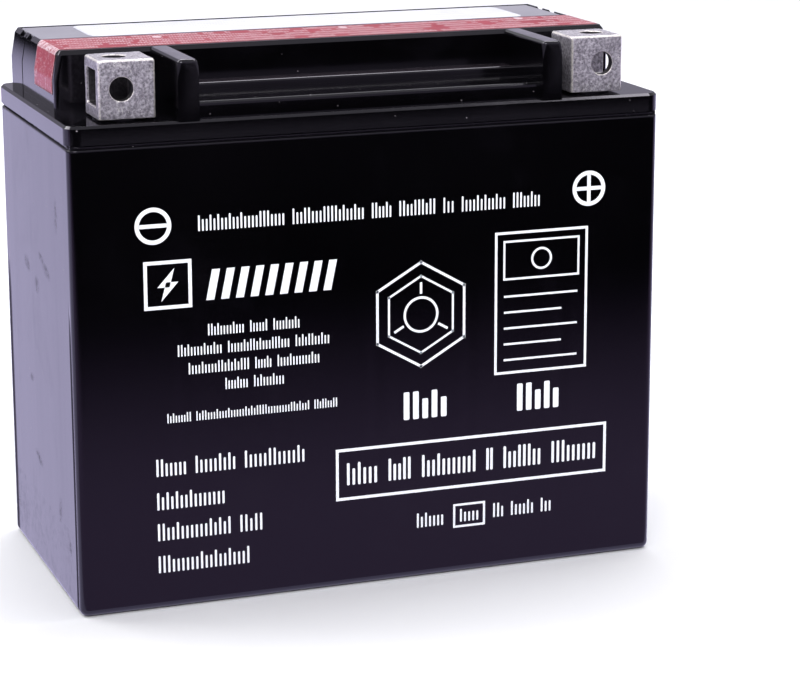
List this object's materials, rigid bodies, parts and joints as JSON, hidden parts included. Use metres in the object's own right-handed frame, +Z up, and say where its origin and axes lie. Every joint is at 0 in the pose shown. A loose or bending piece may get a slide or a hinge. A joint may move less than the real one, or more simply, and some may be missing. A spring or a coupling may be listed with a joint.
{
  "type": "motorcycle battery",
  "caption": "Sealed six-cell starter battery in a black case, with cube terminals at the front corners and a lift-off strip of filler plugs on top.",
  "frame": {"origin": "centre of the footprint, on the surface the battery stands on", "axes": "+Z up, +X along the long front wall towards the positive terminal, +Y from the front wall into the depth"},
  "size_m": [0.175, 0.087, 0.155],
  "materials": {
    "case_black": "glossy moulded polypropylene",
    "strip_grey": "satin moulded plastic",
    "valve_rubber": "matt moulded rubber",
    "seal_rubber": "matt moulded rubber",
    "porous_disc": "porous sintered disc",
    "terminal_lead": "dull cast lead alloy with worn bright edges",
    "resin": "cast resin",
    "plate_lead": "grey spongy lead",
    "plate_oxide": "dark brown lead dioxide",
    "glass_mat": "absorbent glass-fibre mat",
    "label_white": "satin white film sticker",
    "label_red": "satin red film sticker with a printed speckle"
  },
  "bodies": {
    "case": {"container": "case_black", "cover": "case_black", "terminal_negative": "terminal_lead", "terminal_positive": "terminal_lead", "terminal_seal_negative": "resin", "terminal_seal_positive": "resin", "negative_group_1": "plate_lead", "positive_group_1": "plate_oxide", "separators_1": "glass_mat", "negative_group_2": "plate_lead", "positive_group_2": "plate_oxide", "separators_2": "glass_mat", "negative_group_3": "plate_lead", "positive_group_3": "plate_oxide", "separators_3": "glass_mat", "negative_group_4": "plate_lead", "positive_group_4": "plate_oxide", "separators_4": "glass_mat", "negative_group_5": "plate_lead", "positive_group_5": "plate_oxide", "separators_5": "glass_mat", "negative_group_6": "plate_lead", "positive_group_6": "plate_oxide", "separators_6": "glass_mat", "intercell_welds": "plate_lead", "band_label": "label_red"},
    "cap_strip": {"plug_strip": "strip_grey", "plug_strip_top": "strip_grey", "plug_seals": "seal_rubber", "flame_arrestors": "porous_disc", "strip_label": "label_white"},
    "valve_1": {"valve_cap_1": "valve_rubber"},
    "valve_2": {"valve_cap_2": "valve_rubber"},
    "valve_3": {"valve_cap_3": "valve_rubber"},
    "valve_4": {"valve_cap_4": "valve_rubber"},
    "valve_5": {"valve_cap_5": "valve_rubber"},
    "valve_6": {"valve_cap_6": "valve_rubber"}
  },
  "joints": [
    {"name": "strip_pull", "type": "slide", "parent": "case", "child": "cap_strip", "axis": [0, 0, 1], "range_m": [0, 0.025]},
    {"name": "valve_lift_1", "type": "slide", "parent": "cap_strip", "child": "valve_1", "axis": [0, 0, 1], "range_m": [0, 0.0005], "stiffness_N_per_m": 300, "springref_m": -0.001},
    {"name": "valve_lift_2", "type": "slide", "parent": "cap_strip", "child": "valve_2", "axis": [0, 0, 1], "range_m": [0, 0.0005], "stiffness_N_per_m": 300, "springref_m": -0.001},
    {"name": "valve_lift_3", "type": "slide", "parent": "cap_strip", "child": "valve_3", "axis": [0, 0, 1], "range_m": [0, 0.0005], "stiffness_N_per_m": 300, "springref_m": -0.001},
    {"name": "valve_lift_4", "type": "slide", "parent": "cap_strip", "child": "valve_4", "axis": [0, 0, 1], "range_m": [0, 0.0005], "stiffness_N_per_m": 300, "springref_m": -0.001},
    {"name": "valve_lift_5", "type": "slide", "parent": "cap_strip", "child": "valve_5", "axis": [0, 0, 1], "range_m": [0, 0.0005], "stiffness_N_per_m": 300, "springref_m": -0.001},
    {"name": "valve_lift_6", "type": "slide", "parent": "cap_strip", "child": "valve_6", "axis": [0, 0, 1], "range_m": [0, 0.0005], "stiffness_N_per_m": 300, "springref_m": -0.001}
  ]
}
